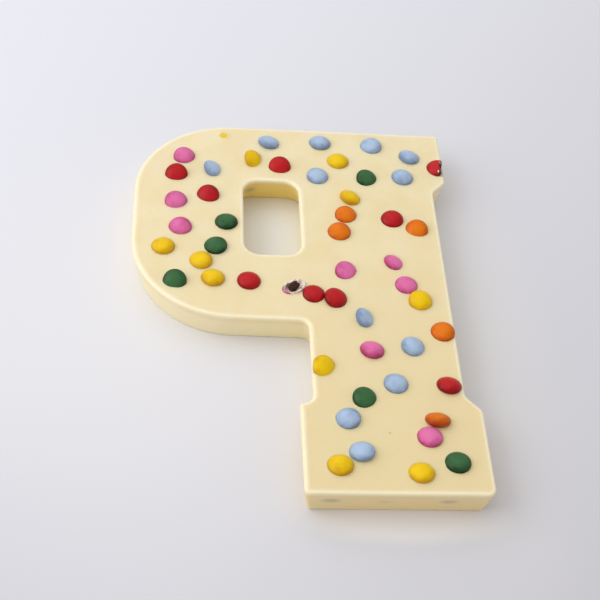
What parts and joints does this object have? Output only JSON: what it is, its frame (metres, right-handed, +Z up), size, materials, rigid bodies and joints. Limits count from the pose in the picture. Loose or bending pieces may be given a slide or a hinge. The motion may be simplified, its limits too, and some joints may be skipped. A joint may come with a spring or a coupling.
{
  "type": "chocolate letter",
  "caption": "Thick moulded letter P of white chocolate lying poured face up, candy-coated lentils pressed into it.",
  "frame": {"origin": "centre of the bounding box, on the surface that the letter lies on", "axes": "+Y along the stem from the foot to the top, +Z up out of the poured face, +X to the right seen from above with the foot nearest"},
  "size_m": [0.1278, 0.1844, 0.0171],
  "materials": {
    "chocolate": "satin",
    "candy_red": "satin",
    "candy_orange": "satin",
    "candy_yellow": "satin",
    "candy_green": "satin",
    "candy_blue": "satin",
    "candy_pink": "satin",
    "cocoa": "matte"
  },
  "bodies": {
    "root": {"candy_blue_1": "candy_blue", "candy_blue_10": "candy_blue", "candy_blue_11": "candy_blue", "candy_blue_12": "candy_blue", "candy_blue_2": "candy_blue", "candy_blue_3": "candy_blue", "candy_blue_4": "candy_blue", "candy_blue_5": "candy_blue", "candy_blue_6": "candy_blue", "candy_blue_7": "candy_blue", "candy_blue_8": "candy_blue", "candy_blue_9": "candy_blue", "candy_green_1": "candy_green", "candy_green_2": "candy_green", "candy_green_3": "candy_green", "candy_green_4": "candy_green", "candy_green_5": "candy_green", "candy_green_6": "candy_green", "candy_orange_1": "candy_orange", "candy_orange_2": "candy_orange", "candy_orange_3": "candy_orange", "candy_orange_4": "candy_orange", "candy_orange_5": "candy_orange", "candy_pink_1": "candy_pink", "candy_pink_2": "candy_pink", "candy_pink_3": "candy_pink", "candy_pink_4": "candy_pink", "candy_pink_5": "candy_pink", "candy_pink_6": "candy_pink", "candy_pink_7": "candy_pink", "candy_pink_8": "candy_pink", "candy_pink_broken": "candy_pink", "candy_red_1": "candy_red", "candy_red_2": "candy_red", "candy_red_3": "candy_red", "candy_red_4": "candy_red", "candy_red_5": "candy_red", "candy_red_6": "candy_red", "candy_red_7": "candy_red", "candy_red_8": "candy_red", "candy_red_serif": "candy_red", "candy_yellow_1": "candy_yellow", "candy_yellow_10": "candy_yellow", "candy_yellow_2": "candy_yellow", "candy_yellow_3": "candy_yellow", "candy_yellow_4": "candy_yellow", "candy_yellow_5": "candy_yellow", "candy_yellow_6": "candy_yellow", "candy_yellow_7": "candy_yellow", "candy_yellow_8": "candy_yellow", "candy_yellow_9": "candy_yellow", "candy_yellow_stem": "candy_yellow", "core_pink_broken": "cocoa", "core_red_serif": "cocoa", "letter": "chocolate"}
  },
  "joints": []
}
